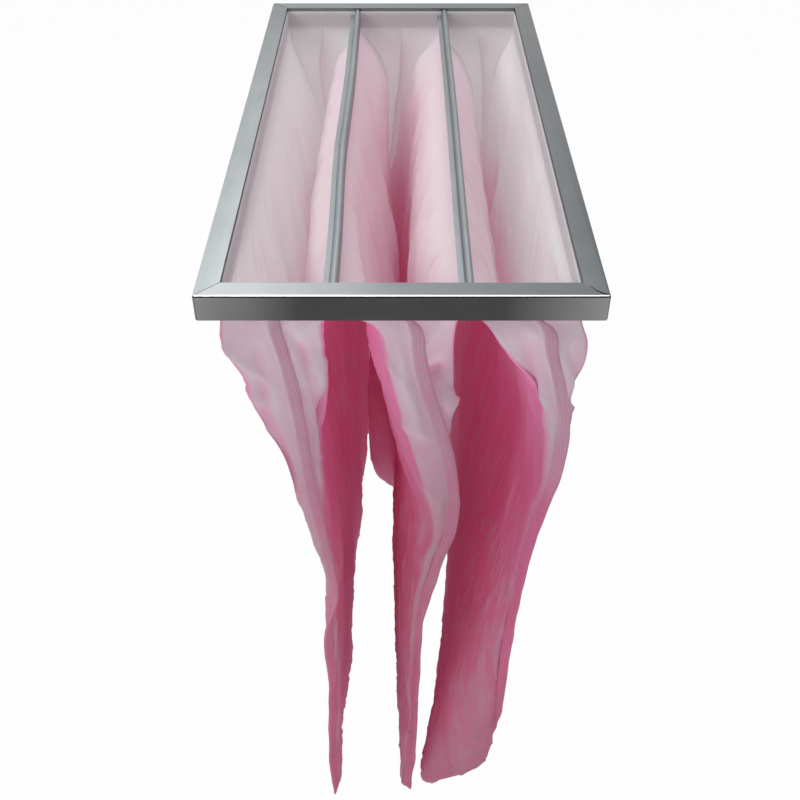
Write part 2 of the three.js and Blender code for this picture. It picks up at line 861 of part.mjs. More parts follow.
// A pocket is one bag of media: an outer face, an inner face, the open rim and the closed hem
function pocketGeometry(pocket) {
  const bottom = -pocketDrop;
  const outer = [
    atHeight(rimRing(pocket, 0, 0), rimTop),
    atHeight(rimRing(pocket, 0, 0), rimBottom),
    atHeight(rimRing(pocket, 0, rimClearance), headerSheet + bendRadius),
    atHeight(rimRing(pocket, 0, rimClearance), -headerSheet),
  ];
  const inner = [
    atHeight(rimRing(pocket, rimThickness, 0), rimTop),
    atHeight(rimRing(pocket, rimThickness, 0), rimBottom),
    atHeight(rimRing(pocket, wallThickness, rimClearance), headerSheet + bendRadius),
    atHeight(rimRing(pocket, wallThickness, rimClearance), -headerSheet),
  ];
  for (const share of ringShares) {
    const drop = share * pocketDrop;
    outer.push(atHeight(hangingRing(pocket, 0, drop), -drop));
    inner.push(atHeight(hangingRing(pocket, wallThickness, drop), -drop));
  }
  const hemTop = pocketDrop - hemHeight;
  outer.push(atHeight(hangingRing(pocket, 0, hemTop), -hemTop));
  outer.push(atHeight(hemRing(hangingRing(pocket, 0, pocketDrop)), bottom));
  inner.push(atHeight(hangingRing(pocket, wallThickness, hemTop), -hemTop + fitGap));
  const rings = [...inner.reverse(), ...outer];
  const count = rings[0].length;
  const caps = [];
  for (let point = 0; point < count / 2 - 1; point += 1) {
    const across = count - 1 - point;
    caps.push([point, point + 1, across - 1], [point, across - 1, across]);
  }
  const onRightWall = (point) => point >= count / 2;
  return loft(rings, caps, (ring, point) => (ring < inner.length - 1) === onRightWall(point));
}

const filter = new THREE.Group();

function addPart(name, geometry, material) {
  const mesh = new THREE.Mesh(geometry, material);
  mesh.name = name;
  filter.add(mesh);
  return mesh;
}

addPart('header_frame', headerGeometry(), galvanised);
addPart('closing_rivet', rivetGeometry(), rivetAlloy);
addPart('divider_left', dividerGeometry(0), galvanised);
addPart('divider_right', dividerGeometry(1), galvanised);

// Side clips run the whole length; near and far clips stand between the dividers
const clipLengthY = 2 * (flangeEdgeY - clipEndGap);
const sideClipLeft = addPart('side_clip_left', clipGeometry(clipLengthY), clipSteel);
sideClipLeft.rotation.z = -Math.PI / 2;
sideClipLeft.position.x = -flangeEdgeX;
const sideClipRight = addPart('side_clip_right', clipGeometry(clipLengthY), clipSteel);
sideClipRight.rotation.z = Math.PI / 2;
sideClipRight.position.x = flangeEdgeX;

for (const pocket of pockets) {
  const place = pocket.name.replace('pocket_', '');
  const besideNose = noseWidth / 2 + fitGap;
  const left = pocket.leftSide === 'header'
    ? -flangeEdgeX + clipEndGap
    : dividerPlaces[pocket.leftSide] + besideNose;
  const right = pocket.rightSide === 'header'
    ? flangeEdgeX - clipEndGap
    : dividerPlaces[pocket.rightSide] - besideNose;
  const near = addPart(`near_clip_${place}`, clipGeometry(right - left), clipSteel);
  near.position.set((left + right) / 2, -flangeEdgeY, 0);
  const far = addPart(`far_clip_${place}`, clipGeometry(right - left), clipSteel);
  far.rotation.z = Math.PI;
  far.position.set((left + right) / 2, flangeEdgeY, 0);
}

for (const pocket of pockets) {
  addPart(pocket.name, pocketGeometry(pocket), media);
}

export default filter;
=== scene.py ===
# %% [markdown]
# A bag air filter with a steel header and three limp pockets of pink synthetic media.
# The frame gives every rigid piece its place and size. This script adds what the eye needs:
# the look of galvanised sheet, and pockets that hang, wrinkle and let light through.

# %% Load the frame
import math

import bmesh
import bpy
import numpy as np
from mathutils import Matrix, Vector, noise


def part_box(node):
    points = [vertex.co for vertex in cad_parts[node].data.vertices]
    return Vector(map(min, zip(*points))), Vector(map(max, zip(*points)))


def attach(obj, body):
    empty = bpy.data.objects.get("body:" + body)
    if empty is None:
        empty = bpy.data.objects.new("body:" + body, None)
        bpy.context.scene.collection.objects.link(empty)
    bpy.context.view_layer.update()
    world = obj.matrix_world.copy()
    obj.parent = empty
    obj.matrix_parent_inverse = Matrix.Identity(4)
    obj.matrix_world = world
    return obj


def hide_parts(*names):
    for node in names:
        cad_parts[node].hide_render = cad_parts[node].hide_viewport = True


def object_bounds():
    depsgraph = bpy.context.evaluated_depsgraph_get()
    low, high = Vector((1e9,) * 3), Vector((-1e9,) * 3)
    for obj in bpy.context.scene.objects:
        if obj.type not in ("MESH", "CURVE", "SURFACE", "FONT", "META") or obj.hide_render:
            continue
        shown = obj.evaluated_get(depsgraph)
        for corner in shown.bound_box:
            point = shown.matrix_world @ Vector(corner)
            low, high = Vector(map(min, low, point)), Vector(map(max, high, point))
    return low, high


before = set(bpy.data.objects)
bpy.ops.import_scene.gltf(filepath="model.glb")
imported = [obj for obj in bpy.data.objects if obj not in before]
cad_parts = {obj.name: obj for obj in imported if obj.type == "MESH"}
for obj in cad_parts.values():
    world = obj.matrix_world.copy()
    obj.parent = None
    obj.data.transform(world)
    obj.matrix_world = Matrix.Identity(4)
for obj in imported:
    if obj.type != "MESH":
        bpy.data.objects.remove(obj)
cad_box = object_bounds()
MM = 0.001
print("CAD box in millimetres:", [[round(v / MM, 1) for v in corner] for corner in cad_box])

# %% [markdown]
# The photograph looks down into the mouths from in front, over the header's near edge.
# A camera that is fitted to the header's corners gives the lens, the place and the tilt.

# %% Camera
SENSOR_MM = 36
FOCAL_SHARE = 1034 / 800
CAMERA_TILT_DEGREES = 50.6
CAMERA_PLACE = (-0.001, -0.886, 0.414)

camera = bpy.data.objects.new("camera", bpy.data.cameras.new("camera"))
bpy.context.scene.collection.objects.link(camera)
camera.data.sensor_width = SENSOR_MM
camera.data.lens = SENSOR_MM * FOCAL_SHARE
camera.location = CAMERA_PLACE
camera.rotation_euler = (math.radians(CAMERA_TILT_DEGREES), 0, 0)
camera.data.clip_start = 0.01
camera.data.clip_end = 50
bpy.context.scene.camera = camera

# %% [markdown]
# Colours are written as sRGB hex values, as a designer picks them, and turned to the linear
# values that the renderer works in. One more helper adds a shader node with its settings.


# %% Colour and node helpers
def linear(hex_colour):
    channels = [int(hex_colour[at:at + 2], 16) / 255 for at in (1, 3, 5)]
    curve = [c / 12.92 if c <= 0.04045 else ((c + 0.055) / 1.055) ** 2.4 for c in channels]
    return (*curve, 1)


def new_material(name):
    material = bpy.data.materials.new(name)
    material.use_nodes = True
    tree = material.node_tree
    return material, tree, tree.nodes["Principled BSDF"]


def add_node(tree, kind, inputs=None, **settings):
    """Adds a shader node. An input is a plain value or another node's output."""
    node = tree.nodes.new(kind)
    for name, value in settings.items():
        setattr(node, name, value)
    for key, value in (inputs or {}).items():
        if isinstance(value, bpy.types.NodeSocket):
            tree.links.new(value, node.inputs[key])
        else:
            node.inputs[key].default_value = value
    return node


def set_ramp(node, stops):
    """Gives a colour ramp its stops: pairs of a place from 0 to 1 and an sRGB hex value."""
    elements = node.color_ramp.elements
    while len(elements) < len(stops):
        elements.new(0.5)
    for element, (place, colour) in zip(elements, stops):
        element.position = place
        element.color = linear(colour)


# %% [markdown]
# Galvanised sheet is steel dipped in zinc. It is a grey metal with a soft sheen, fine rolling
# lines along the strip, and a faint cloudiness from the zinc crystals. The strip lines run the
# long way of each web, so the brushed pattern is stretched along X on the ends and Y on the sides.
# The tones carry painted light: a run from light to dark across the header, and a near side
# lighter than the far side, as a room with one bright side would light the sheet; a painted
# reflection that darkens the middle of the near web; and a painted highlight along the near bend,
# with a painted shade line under it and down the near-left corner.


# %% Galvanised sheet
ROLLING_LINE_MM = 0.5
ROLLING_LENGTH_MM = 60
CLOUD_MM = 45


def galvanised_sheet(name, near_tones, far_tones, rough, along):
    """Colour stops from the header's left to its right side; their changes are painted light."""
    material, tree, shader = new_material(name)
    place = add_node(tree, "ShaderNodeTexCoord").outputs["Object"]
    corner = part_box("header_frame")[1]
    across = add_node(tree, "ShaderNodeSeparateXYZ", {0: place})
    shares = [
        add_node(tree, "ShaderNodeMapRange", {
            "Value": across.outputs[axis], "From Min": -reach, "From Max": reach,
        }).outputs[0]
        for axis, reach in (("X", corner.x), ("Y", corner.y))
    ]
    ends = []
    for tones in (near_tones, far_tones):
        ramp = add_node(tree, "ShaderNodeValToRGB", {0: shares[0]})
        set_ramp(ramp, tones)
        ends.append(ramp.outputs[0])
    side = add_node(tree, "ShaderNodeMix", data_type="RGBA")
    for socket, value in ((0, shares[1]), (6, ends[0]), (7, ends[1])):
        tree.links.new(value, side.inputs[socket])
    fine = 1 / (ROLLING_LINE_MM * MM)
    long = 1 / (ROLLING_LENGTH_MM * MM)
    scale = (long, fine, fine) if along == "X" else (fine, long, fine)
    stretched = add_node(tree, "ShaderNodeMapping", {"Vector": place, "Scale": scale})
    lines = add_node(tree, "ShaderNodeTexNoise", {
        "Vector": stretched.outputs[0], "Scale": 1.0, "Detail": 2.0,
    })
    clouds = add_node(tree, "ShaderNodeTexNoise", {
        "Vector": place, "Scale": 1 / (CLOUD_MM * MM), "Detail": 3.0,
    })
    both = add_node(tree, "ShaderNodeMath", {
        0: lines.outputs[0], 1: clouds.outputs[0],
    }, operation="ADD")
    light = add_node(tree, "ShaderNodeMapRange", {
        "Value": both.outputs[0], "From Min": 0.6, "From Max": 1.4, "To Min": 0.86, "To Max": 1.12,
    })
    tinted = add_node(tree, "ShaderNodeMix", {0: 1.0}, data_type="RGBA", blend_type="MULTIPLY")
    tree.links.new(side.outputs[2], tinted.inputs[6])
    tree.links.new(light.outputs[0], tinted.inputs[7])
    tree.links.new(tinted.outputs[2], shader.inputs["Base Color"])
    shader.inputs["Metallic"].default_value = 1
    shader.inputs["Roughness"].default_value = rough
    return material


# Painted light: lighter on the left than on the right, and the near side lighter than the far side.
end_tones = [(0.0, "#b4b8bb"), (0.5, "#707477"), (1.0, "#54585b")]
header_end_sheet = galvanised_sheet(
    "galvanised steel with painted light run, end strips", end_tones,
    [(0.0, "#85898b"), (0.5, "#7b7e81"), (1.0, "#727679")], 0.42, "X")
header_side_sheet = galvanised_sheet(
    "galvanised steel with painted light run, side strips", [(0.0, "#b2b8ba"), (1.0, "#565a5d")],
    [(0.0, "#7d8183"), (1.0, "#6f7173")], 0.42, "Y")
# Painted light: a slight run from lighter on the left to darker on the right.
divider_tones = [(0.0, "#8f9497"), (1.0, "#7b8083")]
divider_sheet = galvanised_sheet(
    "galvanised steel with painted light run, dividers", divider_tones, divider_tones, 0.45, "Y")
# Painted reflection: the near web is dark in its middle and lighter at its ends, as if something dark
# stood in front of it.
web_reflection_tones = [(0.0, "#8c8c8c"), (0.25, "#484848"), (0.75, "#484848"), (1.0, "#8c8c8c")]
web_reflection_sheet = galvanised_sheet("galvanised steel, near web, painted reflection", web_reflection_tones, web_reflection_tones, 0.38, "X")
# Painted highlight: a bright line along the top of the near bend.
bend_highlight_tones = [(0.0, "#eceef0"), (0.5, "#c4c7c9"), (1.0, "#a2a6a9")]
bend_highlight_sheet = galvanised_sheet("galvanised steel, painted highlight on the near bend", bend_highlight_tones, bend_highlight_tones, 0.3, "X")
# Painted shade: a dark line under the near bend and down the rounded near-left corner.
bend_shade_tones = [(0.0, "#2b2b2b"), (0.5, "#242322"), (1.0, "#333333")]
bend_shade_sheet = galvanised_sheet("galvanised steel, painted shade under the bend", bend_shade_tones, bend_shade_tones, 0.4, "X")
clip_tones = [(0.0, "#868b8d"), (1.0, "#868b8d")]
clip_sheet = galvanised_sheet("galvanised steel, clips", clip_tones, clip_tones, 0.5, "Y")

# %% [markdown]
# A blind rivet is an aluminium alloy: whiter than zinc and a little smoother.

# %% Rivet alloy
rivet_alloy, _, rivet_shader = new_material("aluminium alloy, blind rivet")
rivet_shader.inputs["Base Color"].default_value = linear("#c4c6c8")
rivet_shader.inputs["Metallic"].default_value = 1
rivet_shader.inputs["Roughness"].default_value = 0.35

# %% [markdown]
# The header and the dividers already have their true shape. Copies of them are smoothed over
# their bends, so that the light runs round each fold as it does on bent sheet, while the cut
# edges stay sharp.

# %% Header and dividers
SHARP_DEGREES = 40
NEAR_BAND = 2 * MM


def smoothed_copy(node, name):
    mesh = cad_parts[node].data.copy()
    mesh.name = name
    body = bmesh.new()
    body.from_mesh(mesh)
    bmesh.ops.remove_doubles(body, verts=body.verts, dist=0.01 * MM)
    for face in body.faces:
        face.smooth = True
    for edge in body.edges:
        if len(edge.link_faces) == 2:
            edge.smooth = edge.calc_face_angle(0) < math.radians(SHARP_DEGREES)
    body.to_mesh(mesh)
    body.free()
    piece = bpy.data.objects.new(name, mesh)
    bpy.context.scene.collection.objects.link(piece)
    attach(piece, "root")
    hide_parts(node)
    return piece


header = smoothed_copy("header_frame", "header")
header.data.materials.clear()
header_sheets = [header_end_sheet, header_side_sheet, web_reflection_sheet, bend_highlight_sheet, bend_shade_sheet]
for sheet in header_sheets:
    header.data.materials.append(sheet)
header_low, header_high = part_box("header_frame")
# The near faces go onto the sheets with painted light: the upper bend gets the painted highlight, the
# lower bend and the rounded near-left corner the painted shade, the flat web the painted reflection.
for face in header.data.polygons:
    centre, normal = face.center, face.normal
    near = centre.y < header_low.y + NEAR_BAND and normal.y < -0.25
    on_side = header_high.x - abs(centre.x) < header_high.y - abs(centre.y)
    if near and normal.x < -0.3:
        sheet = bend_shade_sheet
    elif near and normal.z > 0.1:
        sheet = bend_highlight_sheet if normal.z > 0.4 else bend_shade_sheet
    elif near and normal.y < -0.8:
        sheet = web_reflection_sheet
    else:
        sheet = header_side_sheet if on_side else header_end_sheet
    face.material_index = header_sheets.index(sheet)
for side in ("left", "right"):
    divider = smoothed_copy(f"divider_{side}", f"divider_{side}_sheet")
    divider.data.materials.clear()
    divider.data.materials.append(divider_sheet)
for name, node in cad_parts.items():
    if "clip" in name:
        node.data.materials.clear()
        node.data.materials.append(clip_sheet)
    if name == "closing_rivet":
        node.data.materials.clear()
        node.data.materials.append(rivet_alloy)

# %% [markdown]
# Each pocket is one bag of felt. It hangs from a straight rim, closes from a wide mouth into a
# limp double sheet, and ends in a welded hem. The near and far seams are flat welded flaps.
# A section says how the bag lies at one depth: line is the middle of the bag seen from above,
# across from the mouth's middle in millimetres, and along the header as a share of the sheet's
# half run. left and right are the half openings at the near end, the middle and the far end, and
# flap is how far the near seam's flap is turned, in degrees.

# %% Pocket sections
RIM_TOP = 17.6
RIM_HEIGHTS = (RIM_TOP, 13.5, 9.5, 5.5, 2.2, -0.8)
RIM_BLEND_DROP = 3.0
WALL = 1.7
RIM_OUTBOARD = 3
FIT_GAP = 0.3
SHEET_END_INSET = 8
FLAP_LENGTH = 10
FLAP_THICKNESS = 2.0
FLAP_TAPER_DROP = 14
SEAM_PUFF = 3
FAR_PUFF = 0.8
FAR_FLAP_TURN = 25
HEM_HEIGHT = 9
HEM_THICKNESS = 2.4


def section(drop, line, left, right, flap):
    return {"drop": drop, "line": line, "left": left, "right": right, "flap": flap}


POCKETS = {
    "left": [
        section(14, [(-8, -.965), (-4, -.3), (-4, .4), (-2, .96)], (35, 34, 35), (38, 31, 34), 75),
        section(35, [(-4.5, -.97), (-11, -.5), (-11, .4), (-6, .965)],
                (37, 25, 24), (35, 22, 21), 75),
        section(60, [(0, -.973), (-12, -.5), (-12, .4), (-6, .965)], (28, 20, 15), (30, 19, 14), 75),
        section(92, [(3.5, -.973), (-8, -.5), (-8, .4), (-3, .965)], (26, 15, 9), (24, 14, 9), 72),
        section(150, [(8, -.975), (1, -.4), (1, .4), (7, .965)], (14.5, 9, 7), (14, 8, 7), 66),
        section(215, [(15.5, -.978), (15, -.4), (16, .4), (21, .965)], (7.5, 5, 5), (7, 5, 5), 60),
        section(290, [(26, -.985), (25, -.5), (28, .3), (36, .965)], (4.5, 4, 4), (5, 4, 4), 35),
        section(345, [(23, -.988), (24, -.6), (29, .2), (38, .965)], (4.5, 4, 4), (4.5, 4, 4), -30),
        section(430, [(24, -.99), (22, -.7), (26, 0), (39, .965)], (4, 3.6, 3.6), (4, 3.6, 3.6), -38),
        section(530, [(20, -.992), (19, -.75), (24, -.1), (38, .97)],
                (3.6, 3.4, 3.4), (3.6, 3.4, 3.4), -35),
        section(619, [(18, -.985), (19, -.78), (23, -.35), (25, .1), (31, .55), (34, .98)],
                (3.4, 3.2, 3.2), (3.4, 3.2, 3.2), -12),
    ],
    "middle": [
        section(14, [(5, -.965), (-3, -.7), (-3, .5), (0, .96)], (25, 35, 38), (36, 33, 38), 60),
        section(35, [(7, -.97), (-7, -.78), (-4, .4), (-1, .965)], (19, 25, 23), (33, 25, 21), 60),
        section(60, [(11, -.973), (-6, -.78), (-3, .4), (-2, .965)], (18, 19, 14), (31, 19, 13), 60),
        section(92, [(20, -.975), (-1, -.75), (-2, .4), (-7, .965)], (19, 14, 9), (24, 14, 9), 60),
        section(150, [(33, -.975), (12, -.8), (3, .1), (-13, .965)], (20, 9, 7), (5, 9, 7), 55),
        section(215, [(36, -.975), (15, -.84), (2, -.3), (-7, .4), (-27, .965)],
                (8, 5, 5), (4, 5, 5), 35),
        section(262, [(26, -.978), (13, -.86), (1, -.3), (-8, .4), (-34, .965)],
                (5, 4.2, 4.2), (4.2, 4.2, 4.2), 20),
        section(335, [(13.5, -.982), (7, -.88), (0, -.3), (-7, .4), (-37, .965)],
                (4.2, 3.8, 3.8), (4, 3.8, 3.8), 20),
        section(450, [(11, -.985), (6, -.9), (-1, -.3), (-5, .35), (-38.5, .8), (-40, .97)],
                (3.8, 3.5, 3.5), (3.8, 3.5, 3.5), 20),
        section(545, [(8, -.985), (5, -.9), (-1, -.4), (-4, .3), (-8, .6), (-37.5, .72), (-41, .975)],
                (3.6, 3.4, 3.4), (3.6, 3.4, 3.4), 30),
        section(619, [(3, -.975), (3, -.84), (4, -.72), (-3, -.3), (-4, .35), (-7, .6), (-35, .7),
                      (-41, .98)], (3.4, 3.2, 3.2), (3.4, 3.2, 3.2), 50),
    ],
    "right": [
        section(14, [(12, -.965), (2, -.75), (1, .5), (0, .96)], (36, 35, 36), (30, 34, 36), 55),
        section(35, [(17, -.97), (7, -.75), (6, .4), (4, .965)], (27, 28, 24), (33, 27, 22), 55),
        section(60, [(24, -.973), (12, -.72), (9, .4), (7, .965)], (17, 23, 15), (24, 21, 14), 55),
        section(78, [(28, -.974), (15, -.7), (11, .4), (8, .965)], (11, 18, 11), (14, 17, 11), 52),
        section(103, [(33, -.975), (18, -.68), (12, .4), (9, .965)], (9, 14, 9), (13, 12, 9), 48),
        section(150, [(32, -.978), (20, -.62), (12, .2), (9, .965)], (5, 8, 7), (4.5, 8, 7), 40),
        section(210, [(22, -.982), (16, -.62), (7, .1), (5, .965)], (4, 5, 5), (4, 5, 5), 25),
        section(285, [(13, -.985), (5, -.85), (-3, -.3), (-6, .3), (-7, .965)],
                (4, 4, 4.5), (4, 4, 4.5), 15),
        section(395, [(4, -.975), (-7, -.94), (-14, -.85), (-16, -.5), (-12, .1), (-11, .965)],
                (4.6, 3.8, 4), (4.6, 3.8, 4), 8),
        section(510, [(4, -.94), (-13, -.955), (-31, -.93), (-37, -.83), (-33, -.55), (-18, 0),
                      (-14, .97)], (5.4, 3.7, 3.4), (5.4, 3.7, 3.4), 5),
        section(619, [(9, -.833), (6, -.865), (-1, -.903), (-18, -.937), (-42, -.96), (-61, -.97),
                      (-61.5, -.935), (-57, -.85), (-50, -.7), (-41, -.5), (-28, -.12), (-16, .25),
                      (-13, .98)],
                (4.6, 3.3, 3.2), (4.6, 3.3, 3.2), 0),
    ],
}

# %% [markdown]
# The loft works in two steps. Each section gives one ring of points round the bag, and a smooth
# curve then runs down through the same point of every ring. The rings of the finished bag are
# read off that curve a few millimetres apart.

# %% Pocket loft
FLANGE_EDGE_X = header_high.x / MM - 17
FLANGE_EDGE_Y = header_high.y / MM - 17
RIM_END = FLANGE_EDGE_Y + RIM_OUTBOARD + WALL / 2
RIM_CLEARANCE = RIM_OUTBOARD + WALL / 2 + FIT_GAP
SHEET_HALF_RUN = header_high.y / MM - SHEET_END_INSET
POCKET_DROP = -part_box("pocket_left")[0].z / MM
DIVIDER_X = 48
DIVIDER_BOWS = {-1: (-2.6, -60, 95), 1: (0.9, 40, 160)}
FLAP_SLIDES = np.array([0.06, 0.3, 0.53, 0.76, 0.96])
FLAP_STEPS = len(FLAP_SLIDES)
NEAR_STEPS = 14
FAR_STEPS = 6
HANG_STEP = 5.0
LONG_FOLDS = [(2.6, 190, 0.25, 0.4), (1.7, 118, -0.35, 1.9)]

wall_shares = np.concatenate([
    np.linspace(0, 0.06, 11)[:-1], np.linspace(0.06, 0.45, 95)[:-1],
    np.linspace(0.45, 0.95, 34)[:-1], np.linspace(0.95, 1, 7),
])


def smoothstep(value, low, high):
    share = np.clip((value - low) / (high - low), 0, 1)
    return share * share * (3 - 2 * share)


def divider_bow(side, y):
    offset, at, spread = DIVIDER_BOWS[side]
    return offset * np.exp(-((y - at) / spread) ** 2)


def dense_curve(points, steps=60):
    """A centripetal curve through the points, as closely spaced places."""
    points = np.array(points, float)
    chain = np.vstack([2 * points[0] - points[1], points, 2 * points[-1] - points[-2]])
    places = []
    for p0, p1, p2, p3 in zip(chain, chain[1:], chain[2:], chain[3:]):
        d0, d1, d2 = (math.sqrt(math.dist(a, b)) for a, b in ((p0, p1), (p1, p2), (p2, p3)))
        out = ((p1 - p0) / d0 - (p2 - p0) / (d0 + d1) + (p2 - p1) / d1) * d1
        into = ((p2 - p1) / d1 - (p3 - p1) / (d1 + d2) + (p3 - p2) / d2) * d1
        t = np.linspace(0, 1, steps, endpoint=False)[:, None]
        places.append((2 * t ** 3 - 3 * t ** 2 + 1) * p1 + (t ** 3 - 2 * t ** 2 + t) * out
                      + (3 * t ** 2 - 2 * t ** 3) * p2 + (t ** 3 - t ** 2) * into)
    return np.vstack([*places, points[-1:]])


def along_value(values, share):
    near, middle, far = values
    first = near + (middle - near) * smoothstep(share * 3, 0, 1)
    second = middle + (far - middle) * smoothstep(share * 3 - 2, 0, 1)
    return np.where(share < 0.5, first, second)


def long_fold(run, drop):
    height = 0
    for depth, length, slant, phase in LONG_FOLDS:
        height = height + depth * np.sin(2 * math.pi * (run + slant * drop) / length + phase)
    low = 1 - 0.5 * smoothstep(drop, POCKET_DROP * 0.85, POCKET_DROP)
    return height * smoothstep(drop, 40, 170) * low


def mouth_edges(place, y):
    """Outer faces of a pocket's left and right walls at its rim."""
    header_face = FLANGE_EDGE_X + RIM_OUTBOARD + WALL / 2
    left, right = -header_face + 0 * y, header_face + 0 * y
    if place != "left":
        side = -1 if place == "middle" else 1
        left = side * DIVIDER_X + divider_bow(side, y) + 0.2
    if place != "right":
        side = 1 if place == "middle" else -1
        right = side * DIVIDER_X + divider_bow(side, y) - 0.2
    return left, right


def mouth_centre(place):
    return {"left": -(FLANGE_EDGE_X + DIVIDER_X) / 2, "middle": 0,
            "right": (FLANGE_EDGE_X + DIVIDER_X) / 2}[place]


def rim_ring(place, shift_in):
    end = RIM_END - shift_in
    centre = mouth_centre(place)
    walls = []
    for index, towards in ((0, 1), (1, -1)):
        y = end * (2 * wall_shares - 1)
        x = mouth_edges(place, y)[index]
        if (place, index) in (("left", 0), ("right", 1)):
            x = x + towards * shift_in
        seam = centre - towards * FLAP_THICKNESS / 2
        near_reach = np.linspace(0, 1, NEAR_STEPS, endpoint=False)
        far_reach = np.linspace(1, 0, FAR_STEPS + 1)[1:]
        near = np.column_stack([seam + (x[0] - seam) * near_reach, np.full(NEAR_STEPS, -end)])
        far = np.column_stack([seam + (x[-1] - seam) * far_reach, np.full(FAR_STEPS, end)])
        flap_reach = FLAP_SLIDES
        across = centre + (seam - centre) * flap_reach
        near_flap = np.column_stack([across, np.full(FLAP_STEPS, -end)])
        far_flap = near_flap[::-1] * (1, -1)
        walls.append(np.vstack([near_flap, near, np.column_stack([x, y]), far, far_flap]))
    tips = np.array([[centre, -end]]), np.array([[centre, end]])
    return np.vstack([tips[0], walls[0], tips[1], walls[1][::-1], tips[0]])


def section_ring(place, at, drop):
    centre = mouth_centre(place)
    line = dense_curve([(centre + across, along * SHEET_HALF_RUN) for across, along in at["line"]])
    run = np.concatenate([[0], np.cumsum(np.hypot(*np.diff(line, axis=0).T))])
    length = run[-1]
    heading = np.gradient(line, run, axis=0)
    heading /= np.hypot(*heading.T)[:, None]

    def read(share):
        spot = share * length
        point = np.column_stack([np.interp(spot, run, line[:, axis]) for axis in (0, 1)])
        tangent = np.column_stack([np.interp(spot, run, heading[:, axis]) for axis in (0, 1)])
        tangent /= np.hypot(*tangent.T)[:, None]
        normal = np.column_stack([-tangent[:, 1], tangent[:, 0]])
        ends = np.sqrt(np.sin(math.pi * np.clip(share, 0, 1)))
        return point + normal * (long_fold(share * length, drop) * ends)[:, None], tangent, normal

    walls = []
    tips = []
    for key, sign in (("left", 1), ("right", -1)):
        def half(share):
            return np.maximum(along_value(at[key], share), WALL * 0.6)

        seam_half = min(FLAP_THICKNESS / 2, 0.8 * float(half(np.array([0.0]))[0]))
        point, tangent, normal = read(wall_shares)
        wall = point + normal * (sign * half(wall_shares))[:, None]
        parts = {}
        for end, steps, outward in ((0.0, NEAR_STEPS, -1), (1.0, FAR_STEPS, 1)):
            reach = np.linspace(0, 1, steps, endpoint=False)[:, None]
            share = np.array([end])
            point, tangent, normal = read(share)
            seam_puff = SEAM_PUFF if end == 0.0 else FAR_PUFF
            half_flap = seam_half if end == 0.0 else seam_half / 2
            puff = seam_puff * (1 - reach ** 2)
            across = reach * half(share) + (1 - reach) * half_flap
            side = point + tangent * outward * puff + normal * sign * across
            turn = math.radians(at["flap"] if end == 0.0 else FAR_FLAP_TURN)
            grown = float(smoothstep(drop, 0, FLAP_TAPER_DROP))
            out = tangent * outward * math.cos(turn) - normal * math.sin(turn)
            flank = np.column_stack([out[:, 1], -out[:, 0]]) * outward * half_flap
            root = point + tangent * outward * seam_puff
            tip = root + out * FLAP_LENGTH * grown
            slide = FLAP_SLIDES[:, None]
            flap = tip + (root - tip) * slide - flank * sign
            blend = 0.5 * slide ** 6
            flap = flap * (1 - blend) + side[:1] * blend
            tips.append(tip)
            if end == 0.0:
                parts["near"] = np.vstack([flap, side])
            else:
                parts["far"] = np.vstack([flap, side])[::-1]
        walls.append(np.vstack([parts["near"], wall, parts["far"]]))
    near_tip, far_tip = tips[0], tips[1]
    return np.vstack([near_tip, walls[0], far_tip, walls[1][::-1], near_tip])


def hanging_rings(place, drops):
    scale = POCKET_DROP / POCKETS[place][-1]["drop"]
    knots = [(RIM_BLEND_DROP, rim_ring(place, RIM_CLEARANCE))]
    for at in POCKETS[place]:
        knots.append((at["drop"] * scale, section_ring(place, at, at["drop"] * scale)))
    places = np.array([drop for drop, _ in knots])
    rings = np.array([ring for _, ring in knots])
    slopes = np.empty_like(rings)
    spans = np.diff(places)[:, None, None]
    chords = np.diff(rings, axis=0) / spans
    slopes[0], slopes[-1] = chords[0], chords[-1]
    slopes[1:-1] = (rings[2:] - rings[:-2]) / (places[2:] - places[:-2])[:, None, None]
    result = []
    for drop in drops:
        k = int(np.clip(np.searchsorted(places, drop) - 1, 0, len(places) - 2))
        span = places[k + 1] - places[k]
        t = (drop - places[k]) / span
        result.append((2 * t ** 3 - 3 * t ** 2 + 1) * rings[k]
                      + (t ** 3 - 2 * t ** 2 + t) * span * slopes[k]
                      + (3 * t ** 2 - 2 * t ** 3) * rings[k + 1]
                      + (t ** 3 - t ** 2) * span * slopes[k + 1])
    return np.array(result)


def pocket_rows(place):
    """All rings of a pocket, top to bottom, as an array of rows by columns by X, Y and Z."""
    rims = [(height, rim_ring(place, RIM_CLEARANCE)) for height in RIM_HEIGHTS]
    drops = np.arange(RIM_BLEND_DROP, POCKET_DROP - 2, HANG_STEP)
    drops = np.append(drops, [POCKET_DROP - 0.8, POCKET_DROP])
    rings = hanging_rings(place, drops)
    flipped = rings[:, ::-1]
    middle = (rings + flipped) / 2
    gap = np.maximum(np.linalg.norm(rings - flipped, axis=2, keepdims=True), 1e-6)
    pressed = smoothstep(drops, POCKET_DROP - HEM_HEIGHT - 4, POCKET_DROP - HEM_HEIGHT)[:, None, None]
    narrow = 1 + (np.minimum(1, HEM_THICKNESS / gap) - 1) * pressed
    rings = middle + (rings - middle) * narrow
    rings[-1] = middle[-1]
    rows = [np.column_stack([ring, np.full(len(ring), height)]) for height, ring in rims]
    rows += [np.column_stack([ring, np.full(len(ring), -drop)]) for drop, ring in zip(drops, rings)]
    return np.array(rows)


pocket_points = {place: pocket_rows(place) for place in POCKETS}
print("rows and columns of a pocket:", pocket_points["left"].shape[:2])

# %% [markdown]
# The cloth gets its creases in the loft's own directions: along the sheet and down it. A sheet
# that hangs slack puckers along its welded seams, wrinkles down its length where it is narrow,
# and creases slantwise under the rim, where the wide mouth turns into a flat sheet.

# %% Wrinkles


